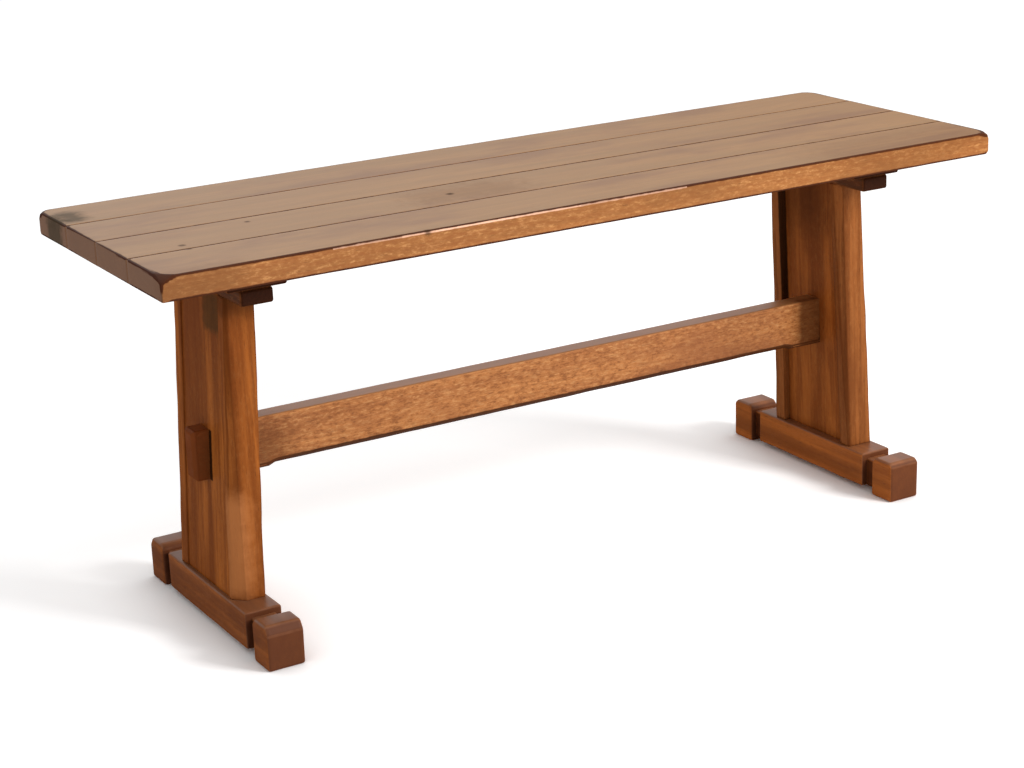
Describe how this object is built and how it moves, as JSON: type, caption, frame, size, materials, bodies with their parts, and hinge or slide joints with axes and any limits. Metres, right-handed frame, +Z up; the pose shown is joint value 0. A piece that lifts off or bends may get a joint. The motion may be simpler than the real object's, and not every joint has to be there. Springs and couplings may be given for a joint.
{
  "type": "breakfast nook bench",
  "caption": "Plank-top oak trestle bench with recessed-board legs, block-ended feet and a single stretcher with proud through tenons.",
  "frame": {"origin": "on the floor under the middle of the seat", "axes": "+X along the seat's length, +Y to its back edge, +Z up"},
  "size_m": [1.08, 0.356, 0.457],
  "materials": {
    "oak_seat": "satin waxed oak, worn",
    "oak_frame": "satin waxed oak, hewn edges",
    "oak_shade": "satin waxed oak",
    "oak_foot": "satin waxed oak, darker in the necks",
    "oak_raw": "bare oak, hidden in the seams",
    "steel": "zinc plated"
  },
  "bodies": {
    "root": {"seat_plank_1": "oak_seat", "seat_plank_2": "oak_seat", "seat_plank_3": "oak_seat", "seat_plank_4": "oak_seat", "plank_tongue_1": "oak_raw", "plank_tongue_2": "oak_raw", "plank_tongue_3": "oak_raw", "left_batten": "oak_frame", "right_batten": "oak_frame", "left_batten_screws": "steel", "right_batten_screws": "steel", "left_head_block": "oak_frame", "right_head_block": "oak_frame", "left_back_post": "oak_frame", "right_back_post": "oak_frame", "left_front_post": "oak_frame", "right_front_post": "oak_frame", "left_leg_board": "oak_shade", "right_leg_board": "oak_shade", "left_foot": "oak_foot", "right_foot": "oak_foot", "stretcher": "oak_frame"}
  },
  "joints": []
}
